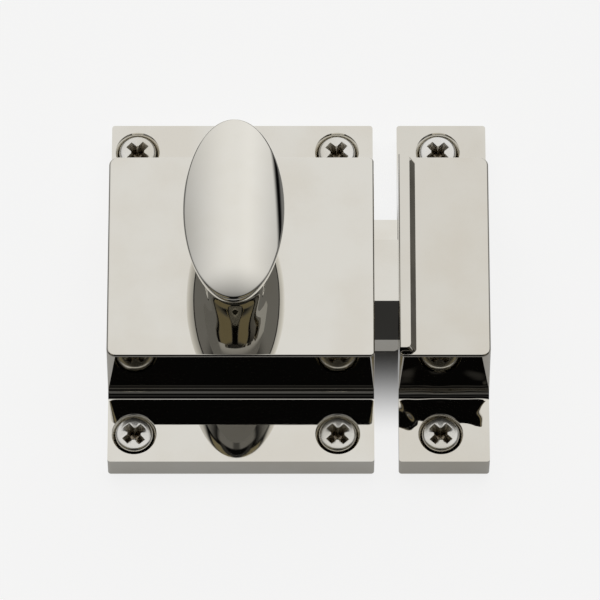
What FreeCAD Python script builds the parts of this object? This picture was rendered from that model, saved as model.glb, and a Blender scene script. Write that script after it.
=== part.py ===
import FreeCAD, Part
import math
import os
import Sketcher

# Cupboard turn latch with strike, in millimetres.
# The back faces lie on z = 0, +Z points out of the door, +Y up it and +X towards the strike.
# The origin is where the spindle's axis meets the back plane.

doc = FreeCAD.newDocument("cupboard_turn_latch")

# Driving sizes: name, value, meaning.
SIZES = [
    ("case_left", 21.2, "spindle axis to the case's left side"),
    ("case_right", 23.3, "spindle axis to the case's right side"),
    ("plate_height", 63.5, "case and strike from end to end"),
    ("plate_thick", 4.75, "flange thickness"),
    ("plate_corner", 0.5, "rounding of the flange's upright corners"),
    ("face_level", 18.0, "height of the raised face over the back"),
    ("face_height", 37.4, "raised face from end to end"),
    ("wall_draft", 0.35, "how far the end walls spread down to the flange"),
    ("cove_radius", 1.5, "hollow between end wall and flange"),
    ("outer_corner", 1.5, "outer upright corners of the block at its face"),
    ("inner_corner", 0.8, "upright corners beside the gap at the face"),
    ("corner_foot", 0.06, "radius to which those corners taper at the cove"),
    ("edge_round", 0.35, "rounding of the face's edges"),
    ("side_wall", 2.4, "case wall at the left and right sides"),
    ("end_wall", 2.85, "case wall at the top and bottom ends"),
    ("face_wall", 2.4, "thickness of the raised face"),
    ("ledge_level", 4.8, "ledge that the back plate sits on"),
    ("ledge_width", 0.8, "ledge width beyond the cavity"),
    ("guide_length", 6.0, "corner blocks that guide the bolt"),
    ("back_plate_thick", 1.5, "back plate"),
    ("plate_clear", 0.15, "back plate to the recess round it"),
    ("boss_radius", 6.5, "spindle boss behind the face"),
    ("boss_clear", 0.5, "spindle boss to the bolt below it"),
    ("bolt_thick", 7.7, "bolt from back to front"),
    ("bolt_flat", 11.5, "width of the bolt's flat front"),
    ("bolt_bevel", 3.5, "drop of the bolt's bevels"),
    ("bolt_reach", 9.3, "how far the bolt stands out of the case"),
    ("bolt_travel", 6.0, "how far the bolt draws back"),
    ("bolt_float", 0.2, "bolt and follower to the back plate"),
    ("bolt_slide", 0.2, "bolt to its guides"),
    ("nose_flat", 1.4, "thickness left at the bolt's tip"),
    ("nose_slope", 5.8, "length of the bolt's closing bevel"),
    ("rail_thick", 1.6, "bolt frame beside the follower's window"),
    ("yoke_web", 3.2, "bolt frame behind the spindle"),
    ("turn_angle", 60.0, "knob turn that draws the bolt, in degrees"),
    ("horn_offset", 1.5, "spindle axis to the faces that the follower pushes"),
    ("lobe_gap", 0.15, "follower lobe to those faces"),
    ("lobe_clear", 0.4, "follower to the rest of the bolt's window"),
    ("lobe_tip", 12.0, "angle across a lobe's tip, in degrees"),
    ("follower_thick", 3.8, "follower"),
    ("hub_wall", 1.5, "follower hub outside the square's corners"),
    ("spindle_diam", 6.35, "round of the spindle"),
    ("spindle_square", 4.4, "square that drives the follower"),
    ("journal_diam", 4.2, "spindle end in the back plate"),
    ("spindle_fit", 0.05, "running clearance round the spindle"),
    ("socket_fit", 0.03, "clearance of pieces that are fixed together"),
    ("knob_width", 16.7, "oval knob across"),
    ("knob_length", 33.5, "oval knob along"),
    ("knob_crown", 2.1, "rise of the knob's domed front over its rim"),
    ("knob_hull", 10.1, "depth of the knob's rounded back below its rim"),
    ("knob_stand", 6.9, "finger gap between face and knob"),
    ("neck_gap", 0.2, "knob's collar to the face"),
    ("collar_radius", 6.2, "collar at the foot of the neck"),
    ("collar_height", 1.6, "straight part of the collar"),
    ("neck_radius", 5.0, "neck where it enters the knob"),
    ("neck_hollow", 7.0, "radius of the neck's hollow outline"),
    ("neck_root", 0.8, "end of that outline beyond the knob's back"),
    ("socket_depth", 4.5, "spindle's depth in the knob beyond its back"),
    ("pin_diam", 1.6, "cross pin of the knob"),
    ("pin_length", 9.6, "its length"),
    ("pin_level", 4.6, "cross pin over the face"),
    ("spring_diam", 5.4, "bolt spring across the middle of its wire"),
    ("spring_wire", 0.6, "wire of the bolt spring"),
    ("spring_turns", 6.0, "turns of the bolt spring"),
    ("spring_seat", 1.0, "depth of the spring's seat in the bolt"),
    ("spring_room", 0.3, "clearance round the spring"),
    ("spigot_length", 2.4, "spigot that centres the spring on the wall"),
    ("strike_gap", 4.1, "gap between case and strike"),
    ("strike_width", 15.15, "strike across"),
    ("strike_wall", 2.2, "strike walls"),
    ("strike_roof", 2.8, "strike hood over its hollow"),
    ("strike_clear", 0.7, "room round the bolt in the strike"),
    ("lip_rise", 2.15, "lip over the hood"),
    ("lip_flat", 1.85, "flat top of the lip"),
    ("lip_slope", 0.95, "width of the lip's slope"),
    ("lip_inset", 0.6, "lip ends inside the hood's ends"),
    ("lip_round", 0.7, "rounding of the slope at the lip's ends"),
    ("lip_edge", 0.3, "rounding of the lip's edge beside the gap"),
    ("screw_left", 4.4, "left case screws from the case's left side"),
    ("screw_right", 6.1, "right case screws from the case's right side"),
    ("screw_end", 5.1, "screws from the flanges' ends, case and strike"),
    ("strike_screw_inset", 7.0, "strike screws from the strike's left side"),
    ("head_diam", 6.9, "screw head"),
    ("head_flat", 5.6, "flat top of the screw head"),
    ("head_raise", 0.45, "top of the screw head above its edge"),
    ("head_drop", 0.3, "edge of the screw head below the flange's front"),
    ("head_rim", 0.75, "radius of the head's round rim"),
    ("head_sink", 2.0, "conical part of the head"),
    ("sink_clear", 0.05, "screw head to its countersink"),
    ("shank_diam", 3.5, "plain shank"),
    ("shank_tail", 0.4, "plain shank behind the back plane"),
    ("hole_diam", 3.9, "screw hole"),
    ("thread_diam", 3.0, "threaded length, mean of root and crest"),
    ("screw_length", 16.0, "screw below the flange's front"),
    ("point_length", 3.2, "screw point"),
    ("recess_span", 4.7, "cross recess from end to end"),
    ("recess_width", 1.1, "arms of the cross recess"),
    ("recess_depth", 1.5, "depth of the cross recess"),
    ("cap_diam", 4.4, "head of the back plate's screws"),
    ("cap_height", 1.4, "height of that head"),
    ("tap_diam", 2.5, "back plate's screws"),
    ("tap_length", 5.0, "their length from the head"),
    ("slot_width", 0.7, "their driving slot"),
    ("slot_depth", 0.7, "depth of that slot"),
]

# Places and levels worked out from the driving sizes.
PLACES = [
    ("face_half", "sizes.face_height / 2"),
    ("foot_half", "places.face_half + sizes.wall_draft"),
    ("cove_top", "sizes.plate_thick + sizes.cove_radius"),
    ("cove_half", "places.face_half + sizes.wall_draft * (sizes.face_level - places.cove_top)"
                  " / (sizes.face_level - sizes.plate_thick)"),
    ("cavity_left", "sizes.side_wall - sizes.case_left"),
    ("cavity_right", "sizes.case_right - sizes.side_wall"),
    ("cavity_half", "places.face_half - sizes.end_wall"),
    ("cavity_top", "sizes.face_level - sizes.face_wall"),
    ("recess_half", "places.cavity_half + sizes.ledge_width"),
    ("plate_back", "sizes.ledge_level - sizes.back_plate_thick"),
    ("bolt_back", "sizes.ledge_level + sizes.bolt_float"),
    ("bolt_front", "places.bolt_back + sizes.bolt_thick"),
    ("base_radius", "sizes.bolt_travel / (sizes.turn_angle * pi / 180)"),
    ("lobe_start", "sizes.horn_offset - sizes.lobe_gap"),
    ("tip_radius", "sqrt((places.lobe_start + sizes.bolt_travel) ^ 2 + places.base_radius ^ 2)"),
    ("window_half", "places.tip_radius + sizes.lobe_clear"),
    ("window_right", "places.window_half + sizes.bolt_travel"),
    ("bolt_half", "places.window_half + sizes.rail_thick"),
    ("guide_half", "places.bolt_half + sizes.bolt_slide"),
    ("hub_radius", "sizes.spindle_square / sqrt(2) + sizes.hub_wall"),
    ("notch_radius", "places.hub_radius + sizes.lobe_clear"),
    ("tail_back", "-places.notch_radius - sizes.yoke_web"),
    ("nose_end", "sizes.case_right + sizes.bolt_reach"),
    ("follower_top", "places.bolt_back + sizes.follower_thick"),
    ("boss_level", "places.bolt_front + sizes.boss_clear"),
    ("spring_axis", "places.bolt_back + sizes.bolt_thick / 2"),
    ("spring_length", "places.tail_back + sizes.spring_seat - places.cavity_left"),
    ("spigot_radius", "(sizes.spring_diam - sizes.spring_wire) / 2 - sizes.spring_room"),
    ("seat_radius", "(sizes.spring_diam + sizes.spring_wire) / 2 + sizes.spring_room"),
    ("knob_back", "sizes.face_level + sizes.knob_stand"),
    ("knob_rim", "places.knob_back + sizes.knob_hull"),
    ("neck_foot", "sizes.face_level + sizes.neck_gap"),
    ("socket_top", "places.knob_back + sizes.socket_depth"),
    ("pin_height", "sizes.face_level + sizes.pin_level"),
    ("strike_left", "sizes.case_right + sizes.strike_gap"),
    ("strike_right", "places.strike_left + sizes.strike_width"),
    ("strike_screw_x", "places.strike_left + sizes.strike_screw_inset"),
    ("lip_half", "places.face_half - sizes.lip_inset"),
    ("screw_x_left", "sizes.screw_left - sizes.case_left"),
    ("screw_x_right", "sizes.case_right - sizes.screw_right"),
    ("screw_y", "sizes.plate_height / 2 - sizes.screw_end"),
    ("tap_left", "places.cavity_left + sizes.guide_length / 2"),
    ("tap_right", "places.cavity_right - sizes.guide_length / 2"),
    ("tap_y", "(places.guide_half + places.cavity_half) / 2"),
]


# Two places closer than this count as one when edges are looked up, in millimetres.
TOUCH = 1e-4


def make_sheet(name, rows):
    """A spreadsheet with a note in column A and an aliased cell in column B for each row."""
    sheet = doc.addObject("Spreadsheet::Sheet", name)
    for row, (alias, content, note) in enumerate(rows, start=1):
        sheet.set(f"A{row}", note)
        sheet.setAlias(f"B{row}", alias)
        sheet.set(f"B{row}", content)
    doc.recompute()
    return sheet


sizes = make_sheet("sizes", [(alias, str(size), note) for alias, size, note in SIZES])
places = make_sheet("places", [(alias, f"={formula}", alias) for alias, formula in PLACES])


def value(expression):
    """The number that an expression in the sheets' names comes to."""
    return float(sizes.evalExpression(expression))


def new_body(label):
    body = doc.addObject("PartDesign::Body", label)
    body.Label = label
    return body


def sketch_on(body, name, role, offset="0", turn=0):
    """A sketch on one of the body's own planes, moved along the plane's normal and turned about it."""
    sketch = body.newObject("Sketcher::SketchObject", name)
    plane = next(item for item in body.Origin.OriginFeatures if item.Role == role)
    sketch.AttachmentSupport = (plane, [""])
    sketch.MapMode = "FlatFace"
    sketch.AttachmentOffset = FreeCAD.Placement(
        FreeCAD.Vector(), FreeCAD.Rotation(FreeCAD.Vector(0, 0, 1), turn)
    )
    sketch.setExpression("AttachmentOffset.Base.z", offset)
    return sketch


def pin_point(sketch, geometry, point, spot):
    """Hold one point of a sketch at a pair of expressions."""
    for kind, axis, expression in zip(("DistanceX", "DistanceY"), (-2, -1), spot):
        if expression == "0":
            sketch.addConstraint(Sketcher.Constraint("PointOnObject", geometry, point, axis))
            continue
        rule = Sketcher.Constraint(kind, -1, 1, geometry, point, value(expression))
        sketch.setExpression(f"Constraints[{sketch.addConstraint(rule)}]", expression)


def arc_middle(start, end, radius, side):
    """The middle of the short arc between two points that bulges to the left (1) or right (-1)."""
    chord = end - start
    across = FreeCAD.Vector(-chord.y, chord.x, 0).normalize()
    sagitta = radius - math.sqrt(radius ** 2 - (chord.Length / 2) ** 2)
    return (start + end) / 2 + across * sagitta * side


def outline(sketch, corners):
    """A closed outline. A corner is a pair of expressions; with a radius and a side (1 left, -1 right)
    added, an arc that bulges to that side leads from it to the next corner, and a line otherwise."""
    spots = [FreeCAD.Vector(value(corner[0]), value(corner[1]), 0) for corner in corners]
    ends = []
    for corner, start, end in zip(corners, spots, spots[1:] + spots[:1]):
        if len(corner) == 2:
            ends.append((sketch.addGeometry(Part.LineSegment(start, end)), 1, 2))
            continue
        radius, side = corner[2:]
        middle = arc_middle(start, end, value(radius), side)
        index = sketch.addGeometry(Part.Arc(start, middle, end))
        rule = sketch.addConstraint(Sketcher.Constraint("Radius", index, value(radius)))
        sketch.setExpression(f"Constraints[{rule}]", radius)
        ends.append((index, 1, 2) if side < 0 else (index, 2, 1))
    for here, following, corner in zip(ends, ends[1:] + ends[:1], corners[1:] + corners[:1]):
        rule = Sketcher.Constraint("Coincident", here[0], here[2], following[0], following[1])
        sketch.addConstraint(rule)
        pin_point(sketch, following[0], following[1], corner[:2])


def rectangle(sketch, left, right, low, high):
    outline(sketch, [(left, low), (right, low), (right, high), (left, high)])


def circle(sketch, centre, radius):
    spot = FreeCAD.Vector(value(centre[0]), value(centre[1]), 0)
    index = sketch.addGeometry(Part.Circle(spot, FreeCAD.Vector(0, 0, 1), value(radius)))
    pin_point(sketch, index, 3, centre)
    rule = sketch.addConstraint(Sketcher.Constraint("Radius", index, value(radius)))
    sketch.setExpression(f"Constraints[{rule}]", radius)


def pad(body, name, sketch, length):
    """Material from the sketch along its plane's normal."""
    feature = body.newObject("PartDesign::Pad", name)
    feature.Profile = sketch
    feature.setExpression("Length", length)
    doc.recompute()


def pocket(body, name, sketch, length):
    """A cut from the sketch along its plane's normal, which has to take material away."""
    before = body.Shape.Volume
    feature = body.newObject("PartDesign::Pocket", name)
    feature.Profile = sketch
    feature.Reversed = True
    feature.setExpression("Length", length)
    doc.recompute()
    if body.Shape.Volume >= before:
        raise RuntimeError(f"{name} cuts nothing")


def revolve(body, name, sketch):
    """A full turn of the sketch about its own upright axis."""
    feature = body.newObject("PartDesign::Revolution", name)
    feature.Profile = sketch
    feature.ReferenceAxis = (sketch, ["V_Axis"])
    feature.Angle = 360
    doc.recompute()


def fillet(body, name, test, radius):
    """Round the edges whose ends and middle all pass a test."""
    base = body.Tip
    chosen = []
    for index, edge in enumerate(base.Shape.Edges, start=1):
        middle = edge.valueAt((edge.FirstParameter + edge.LastParameter) / 2)
        if all(test(spot) for spot in [middle] + [vertex.Point for vertex in edge.Vertexes]):
            chosen.append(f"Edge{index}")
    feature = body.newObject("PartDesign::Fillet", name)
    feature.Base = (base, chosen)
    feature.setExpression("Radius", radius)
    doc.recompute()
    if not feature.isValid():
        raise RuntimeError(f"{name} can't be rounded")


def near(number, expression):
    return abs(number - value(expression)) < TOUCH


def taper_corner(body, name, side, out_x, out_y, radius):
    """Round one upright corner of the block, from a radius at the face to nearly none at the cove."""
    sections = []
    for level, wall, bend in (
        ("sizes.face_level", "places.face_half", radius),
        ("places.cove_top", "places.cove_half", "sizes.corner_foot"),
    ):
        sketch = sketch_on(body, f"{name}_{len(sections)}", "XY_Plane", level)
        wall_y, inner_y = f"{out_y} * {wall}", f"{out_y} * ({wall} - {bend})"
        far_x, far_y = f"{side} + {out_x} * {radius}", f"{wall_y} + {out_y} * {radius}"
        inner_x = f"{side} - {out_x} * {bend}"
        outline(sketch, [
            (side, inner_y, bend, 1 if out_x * out_y < 0 else -1),
            (inner_x, wall_y),
            (inner_x, far_y),
            (far_x, far_y),
            (far_x, inner_y),
        ])
        sections.append(sketch)
    before = body.Shape.Volume
    feature = body.newObject("PartDesign::SubtractiveLoft", name)
    feature.Profile = sections[0]
    feature.Sections = [sections[1]]
    feature.Ruled = True
    doc.recompute()
    if body.Shape.Volume >= before:
        raise RuntimeError(f"{name} cuts nothing")


def flanged_block(label, left, right, left_corner, right_corner):
    """The form that case and strike share: a flanged section drawn along X, with coves and soft edges."""
    body = new_body(label)
    section = sketch_on(body, f"{label}_section", "YZ_Plane", left)
    outline(section, [
        ("-sizes.plate_height / 2", "0"),
        ("sizes.plate_height / 2", "0"),
        ("sizes.plate_height / 2", "sizes.plate_thick"),
        ("places.foot_half", "sizes.plate_thick"),
        ("places.face_half", "sizes.face_level"),
        ("-places.face_half", "sizes.face_level"),
        ("-places.foot_half", "sizes.plate_thick"),
        ("-sizes.plate_height / 2", "sizes.plate_thick"),
    ])
    pad(body, f"{label}_block", section, f"{right} - ({left})")
    fillet(
        body,
        f"{label}_coves",
        lambda spot: near(abs(spot.y), "places.foot_half") and near(spot.z, "sizes.plate_thick"),
        "sizes.cove_radius",
    )
    for side, out_x, bend in ((left, -1, left_corner), (right, 1, right_corner)):
        for out_y in (-1, 1):
            taper_corner(body, f"{label}_corner_{out_x}_{out_y}", side, out_x, out_y, bend)
    fillet(
        body,
        f"{label}_plate_corners",
        lambda spot: near(abs(spot.y), "sizes.plate_height / 2")
        and (near(spot.x, left) or near(spot.x, right)),
        "sizes.plate_corner",
    )
    fillet(body, f"{label}_face_edges", lambda spot: near(spot.z, "sizes.face_level"), "sizes.edge_round")
    return body


def screw_holes(body, name, spots):
    """Countersunk holes for the wood screws, cut from the flange's front."""
    sketch = sketch_on(body, f"{name}_places", "XY_Plane", "sizes.plate_thick")
    for spot in spots:
        circle(sketch, spot, "sizes.hole_diam / 2")
    doc.recompute()
    hole = body.newObject("PartDesign::Hole", name)
    hole.Profile = sketch
    hole.setExpression("Diameter", "sizes.hole_diam")
    hole.DepthType = "ThroughAll"
    hole.HoleCutType = "Countersink"
    hole.HoleCutCustomValues = True
    hole.setExpression(
        "HoleCutDiameter",
        "sizes.head_diam + 2 * sizes.sink_clear"
        " + (sizes.head_diam - sizes.shank_diam) * sizes.head_drop / sizes.head_sink",
    )
    hole.setExpression(
        "HoleCutCountersinkAngle",
        "2 * atan((sizes.head_diam - sizes.shank_diam) / 2 / sizes.head_sink)",
    )
    doc.recompute()


def bolt_section(sketch, half, back, front):
    """The bolt's six-sided section: flat back, straight sides, bevelled front."""
    outline(sketch, [
        (f"-({half})", back),
        (half, back),
        (half, f"{front} - sizes.bolt_bevel"),
        ("sizes.bolt_flat / 2", front),
        ("-sizes.bolt_flat / 2", front),
        (f"-({half})", f"{front} - sizes.bolt_bevel"),
    ])


CORNERS = [("left", -1), ("left", 1), ("right", -1), ("right", 1)]
CASE_SCREWS = [(f"places.screw_x_{side}", f"{y} * places.screw_y") for side, y in CORNERS]
STRIKE_SCREWS = [("places.strike_screw_x", f"{y} * places.screw_y") for y in (-1, 1)]
PLATE_SCREWS = [(f"places.tap_{side}", f"{y} * places.tap_y") for side, y in CORNERS]


def make_case():
    """The casting: hollow from the back, with four corner blocks that guide the bolt."""
    body = flanged_block(
        "case", "-sizes.case_left", "sizes.case_right", "sizes.outer_corner", "sizes.inner_corner"
    )
    left, right = "places.cavity_left", "places.cavity_right"
    recess = sketch_on(body, "case_recess_outline", "XY_Plane")
    rectangle(recess, left, right, "-places.recess_half", "places.recess_half")
    pocket(body, "case_recess", recess, "sizes.ledge_level")

    hollow = sketch_on(body, "case_hollow_outline", "XY_Plane")
    inner_left, inner_right = f"{left} + sizes.guide_length", f"{right} - sizes.guide_length"
    guide, half = "places.guide_half", "places.cavity_half"
    outline(hollow, [
        (left, f"-{guide}"), (inner_left, f"-{guide}"), (inner_left, f"-{half}"),
        (inner_right, f"-{half}"), (inner_right, f"-{guide}"), (right, f"-{guide}"),
        (right, guide), (inner_right, guide), (inner_right, half),
        (inner_left, half), (inner_left, guide), (left, guide),
    ])
    pocket(body, "case_hollow", hollow, "places.cavity_top")

    boss = sketch_on(body, "case_boss_outline", "XY_Plane", "places.boss_level")
    circle(boss, ("0", "0"), "sizes.boss_radius")
    pad(body, "case_boss", boss, "places.cavity_top - places.boss_level")

    bore = sketch_on(body, "case_bore_outline", "XY_Plane")
    circle(bore, ("0", "0"), "sizes.spindle_diam / 2 + sizes.spindle_fit")
    pocket(body, "case_bore", bore, "sizes.face_level")

    spigot = sketch_on(body, "case_spigot_outline", "YZ_Plane", "places.cavity_left")
    circle(spigot, ("0", "places.spring_axis"), "places.spigot_radius")
    pad(body, "case_spigot", spigot, "sizes.spigot_length")

    window = sketch_on(body, "case_window_outline", "YZ_Plane", "places.cavity_right")
    window_back, window_front = "places.bolt_back - sizes.bolt_slide", "places.bolt_front + sizes.bolt_slide"
    bolt_section(window, "places.guide_half", window_back, window_front)
    pocket(body, "case_window", window, "sizes.side_wall")

    taps = sketch_on(body, "case_tap_places", "XY_Plane", "sizes.ledge_level")
    for spot in PLATE_SCREWS:
        circle(taps, spot, "sizes.tap_diam / 2 + sizes.socket_fit")
    pocket(body, "case_taps", taps, "sizes.tap_length")
    screw_holes(body, "case_screw_holes", CASE_SCREWS)
    return body


def make_strike():
    """The casting on the frame: a hooded pocket for the bolt, with a ramp lip on the side it comes from."""
    body = flanged_block(
        "strike", "places.strike_left", "places.strike_right", "sizes.inner_corner", "sizes.outer_corner"
    )
    lip = sketch_on(body, "strike_lip_outline", "XZ_Plane", "-places.lip_half")
    lip_low, lip_high = "sizes.face_level - sizes.edge_round", "sizes.face_level + sizes.lip_rise"
    outline(lip, [
        ("places.strike_left", lip_low),
        ("places.strike_left + sizes.lip_flat + sizes.lip_slope", lip_low),
        ("places.strike_left + sizes.lip_flat + sizes.lip_slope", "sizes.face_level"),
        ("places.strike_left + sizes.lip_flat", lip_high),
        ("places.strike_left + sizes.lip_edge", lip_high, "sizes.lip_edge", -1),
        ("places.strike_left", f"{lip_high} - sizes.lip_edge"),
    ])
    pad(body, "strike_lip", lip, "2 * places.lip_half")
    slope_start = value("places.strike_left + sizes.lip_flat")
    fillet(
        body,
        "strike_lip_ends",
        lambda spot: near(abs(spot.y), "places.lip_half") and spot.x > slope_start - TOUCH,
        "sizes.lip_round",
    )

    hollow = sketch_on(body, "strike_hollow_outline", "XY_Plane")
    rectangle(
        hollow,
        "places.strike_left + sizes.strike_wall",
        "places.strike_right - sizes.strike_wall",
        "-places.cavity_half",
        "places.cavity_half",
    )
    pocket(body, "strike_hollow", hollow, "sizes.face_level - sizes.strike_roof")

    mouth = sketch_on(body, "strike_mouth_outline", "YZ_Plane", "places.strike_left")
    rectangle(
        mouth,
        "-places.bolt_half - sizes.strike_clear",
        "places.bolt_half + sizes.strike_clear",
        "0",
        "places.bolt_front + sizes.strike_clear",
    )
    pocket(body, "strike_mouth", mouth, "sizes.strike_wall")
    screw_holes(body, "strike_screw_holes", STRIKE_SCREWS)
    return body


def make_back_plate():
    """The plate that closes the case, carries the spindle's end and keeps the bolt in its guides."""
    body = new_body("back_plate")
    sheet = sketch_on(body, "back_plate_outline", "XY_Plane", "places.plate_back")
    rectangle(
        sheet,
        "places.cavity_left + sizes.plate_clear",
        "places.cavity_right - sizes.plate_clear",
        "-places.recess_half + sizes.plate_clear",
        "places.recess_half - sizes.plate_clear",
    )
    circle(sheet, ("0", "0"), "sizes.journal_diam / 2 + sizes.spindle_fit")
    for spot in PLATE_SCREWS:
        circle(sheet, spot, "sizes.tap_diam / 2 + sizes.plate_clear")
    pad(body, "back_plate_sheet", sheet, "sizes.back_plate_thick")
    return body


def make_bolt():
    """A bar of one section, with a window for the follower, a yoke behind it and a bevelled nose."""
    body = new_body("bolt")
    section = sketch_on(body, "bolt_section", "YZ_Plane", "places.tail_back")
    bolt_section(section, "places.bolt_half", "places.bolt_back", "places.bolt_front")
    pad(body, "bolt_bar", section, "places.nose_end - places.tail_back")

    window = sketch_on(body, "bolt_window_outline", "XY_Plane", "places.bolt_back")
    half = "places.window_half"
    rectangle(window, "-sizes.horn_offset", "places.window_right", f"-{half}", half)
    pocket(body, "bolt_window", window, "sizes.bolt_thick")

    notch = sketch_on(body, "bolt_notch_outline", "XY_Plane", "places.bolt_back")
    circle(notch, ("0", "0"), "places.notch_radius")
    pocket(body, "bolt_notch", notch, "sizes.bolt_thick")

    seat = sketch_on(body, "bolt_spring_seat_outline", "YZ_Plane", "places.tail_back")
    circle(seat, ("0", "places.spring_axis"), "places.seat_radius")
    pocket(body, "bolt_spring_seat", seat, "sizes.spring_seat")

    nose = sketch_on(body, "bolt_nose_outline", "XZ_Plane", "-places.bolt_half")
    outline(nose, [
        ("places.nose_end - sizes.nose_slope", "places.bolt_back"),
        ("places.nose_end", "places.bolt_back"),
        ("places.nose_end", "places.bolt_front - sizes.nose_flat"),
    ])
    pocket(body, "bolt_nose", nose, "2 * places.bolt_half")
    return body


def make_spindle():
    """A stepped shaft: round in the face, square in the follower, a journal in the back plate."""
    body = new_body("spindle")
    stem = sketch_on(body, "spindle_round_outline", "XY_Plane", "places.follower_top")
    circle(stem, ("0", "0"), "sizes.spindle_diam / 2")
    pad(body, "spindle_round", stem, "places.socket_top - places.follower_top")
    square = sketch_on(body, "spindle_square_outline", "XY_Plane", "places.bolt_back")
    half = "sizes.spindle_square / 2"
    rectangle(square, f"-{half}", half, f"-{half}", half)
    pad(body, "spindle_square", square, "sizes.follower_thick")
    journal = sketch_on(body, "spindle_journal_outline", "XY_Plane", "places.plate_back")
    circle(journal, ("0", "0"), "sizes.journal_diam / 2")
    pad(body, "spindle_journal", journal, "places.bolt_back - places.plate_back")
    pin_hole(body)
    return body


def pin_hole(body):
    """The cross hole for the knob's pin."""
    sketch = sketch_on(body, f"{body.Label}_pin_outline", "YZ_Plane", "-sizes.collar_radius")
    circle(sketch, ("0", "places.pin_height"), "sizes.pin_diam / 2 + sizes.socket_fit")
    pocket(body, f"{body.Label}_pin_hole", sketch, "2 * sizes.collar_radius")


def make_knob():
    """An oval head, flatly domed in front and deep behind, on a hollow-sided neck bored for the spindle."""
    body = new_body("knob")
    for half, low, high in (("crown", 0, 90), ("hull", -90, 0)):
        dome = body.newObject("PartDesign::AdditiveEllipsoid", f"knob_{half}")
        dome.setExpression("Radius1", f"sizes.knob_{half}")
        dome.setExpression("Radius2", "sizes.knob_width / 2")
        dome.setExpression("Radius3", "sizes.knob_length / 2")
        dome.Angle1, dome.Angle2, dome.Angle3 = low, high, 360
        dome.setExpression("Placement.Base.z", "places.knob_rim")
        doc.recompute()

    neck = sketch_on(body, "knob_neck_outline", "XZ_Plane")
    outline(neck, [
        ("0", "places.neck_foot"),
        ("sizes.collar_radius", "places.neck_foot"),
        ("sizes.collar_radius", "places.neck_foot + sizes.collar_height", "sizes.neck_hollow", 1),
        ("sizes.neck_radius", "places.knob_back + sizes.neck_root"),
        ("sizes.neck_radius", "places.socket_top"),
        ("0", "places.socket_top"),
    ])
    revolve(body, "knob_neck", neck)

    socket = sketch_on(body, "knob_socket_outline", "XY_Plane", "places.neck_foot")
    circle(socket, ("0", "0"), "sizes.spindle_diam / 2 + sizes.socket_fit")
    pocket(body, "knob_socket", socket, "places.socket_top + sizes.neck_gap - places.neck_foot")
    pin_hole(body)
    return body


def make_knob_pin():
    pin = doc.addObject("Part::Cylinder", "knob_pin")
    pin.Label = "knob_pin"
    pin.setExpression("Radius", "sizes.pin_diam / 2")
    pin.setExpression("Height", "sizes.pin_length")
    pin.Placement = FreeCAD.Placement(FreeCAD.Vector(), FreeCAD.Rotation(FreeCAD.Vector(0, 1, 0), 90))
    pin.setExpression("Placement.Base.x", "-sizes.pin_length / 2")
    pin.setExpression("Placement.Base.z", "places.pin_height")
    doc.recompute()
    return pin


def make_follower():
    """Two lobes on a square-bored hub. Each flank is an involute of the base circle, so that the bolt
    draws back in step with the knob: a flat face pushed by it moves one base radius per radian."""
    steps = 6
    base, start = value("places.base_radius"), value("places.lobe_start")
    hub, tip = value("places.hub_radius"), value("places.tip_radius")
    turn = math.radians(value("sizes.turn_angle"))

    def polar(radius, angle):
        return FreeCAD.Vector(radius * math.cos(angle), radius * math.sin(angle), 0)

    def flank_point(angle):
        touch = FreeCAD.Vector(-(start + base * angle), -base, 0)
        return polar(touch.Length, math.atan2(touch.y, touch.x) + angle)

    flank = [flank_point(turn * step / steps) for step in range(steps + 1)]
    root = FreeCAD.Vector(-start, -math.sqrt(hub ** 2 - start ** 2), 0)
    tip_angle = math.atan2(flank[-1].y, flank[-1].x)
    tip_end = tip_angle + math.radians(value("sizes.lobe_tip"))
    hub_angle = tip_end + math.acos(hub / tip)
    curve = Part.BSplineCurve()
    curve.interpolate(flank)
    lobe = [
        Part.LineSegment(root, flank[0]).toShape(),
        curve.toShape(),
        Part.Arc(flank[-1], polar(tip, (tip_angle + tip_end) / 2), polar(tip, tip_end)).toShape(),
        Part.LineSegment(polar(tip, tip_end), polar(hub, hub_angle)).toShape(),
    ]
    mirrored = [edge.mirror(FreeCAD.Vector(), FreeCAD.Vector(0, 1, 0)) for edge in lobe]
    front = Part.Arc(polar(hub, hub_angle), polar(hub, 0), polar(hub, -hub_angle)).toShape()
    rear = Part.Arc(FreeCAD.Vector(root.x, -root.y, 0), polar(hub, math.pi), root).toShape()
    wire = Part.Wire(Part.__sortEdges__(lobe + [front] + mirrored + [rear]))
    up = FreeCAD.Vector(0, 0, value("sizes.follower_thick"))
    side = value("sizes.spindle_square + 2 * sizes.socket_fit")
    square = Part.makePlane(side, side, FreeCAD.Vector(-side / 2, -side / 2, 0))
    follower = doc.addObject("Part::Feature", "follower")
    follower.Label = "follower"
    follower.Shape = Part.Face(wire).extrude(up).cut(square.extrude(up))
    follower.Placement.Base.z = value("places.bolt_back")
    return follower


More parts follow.
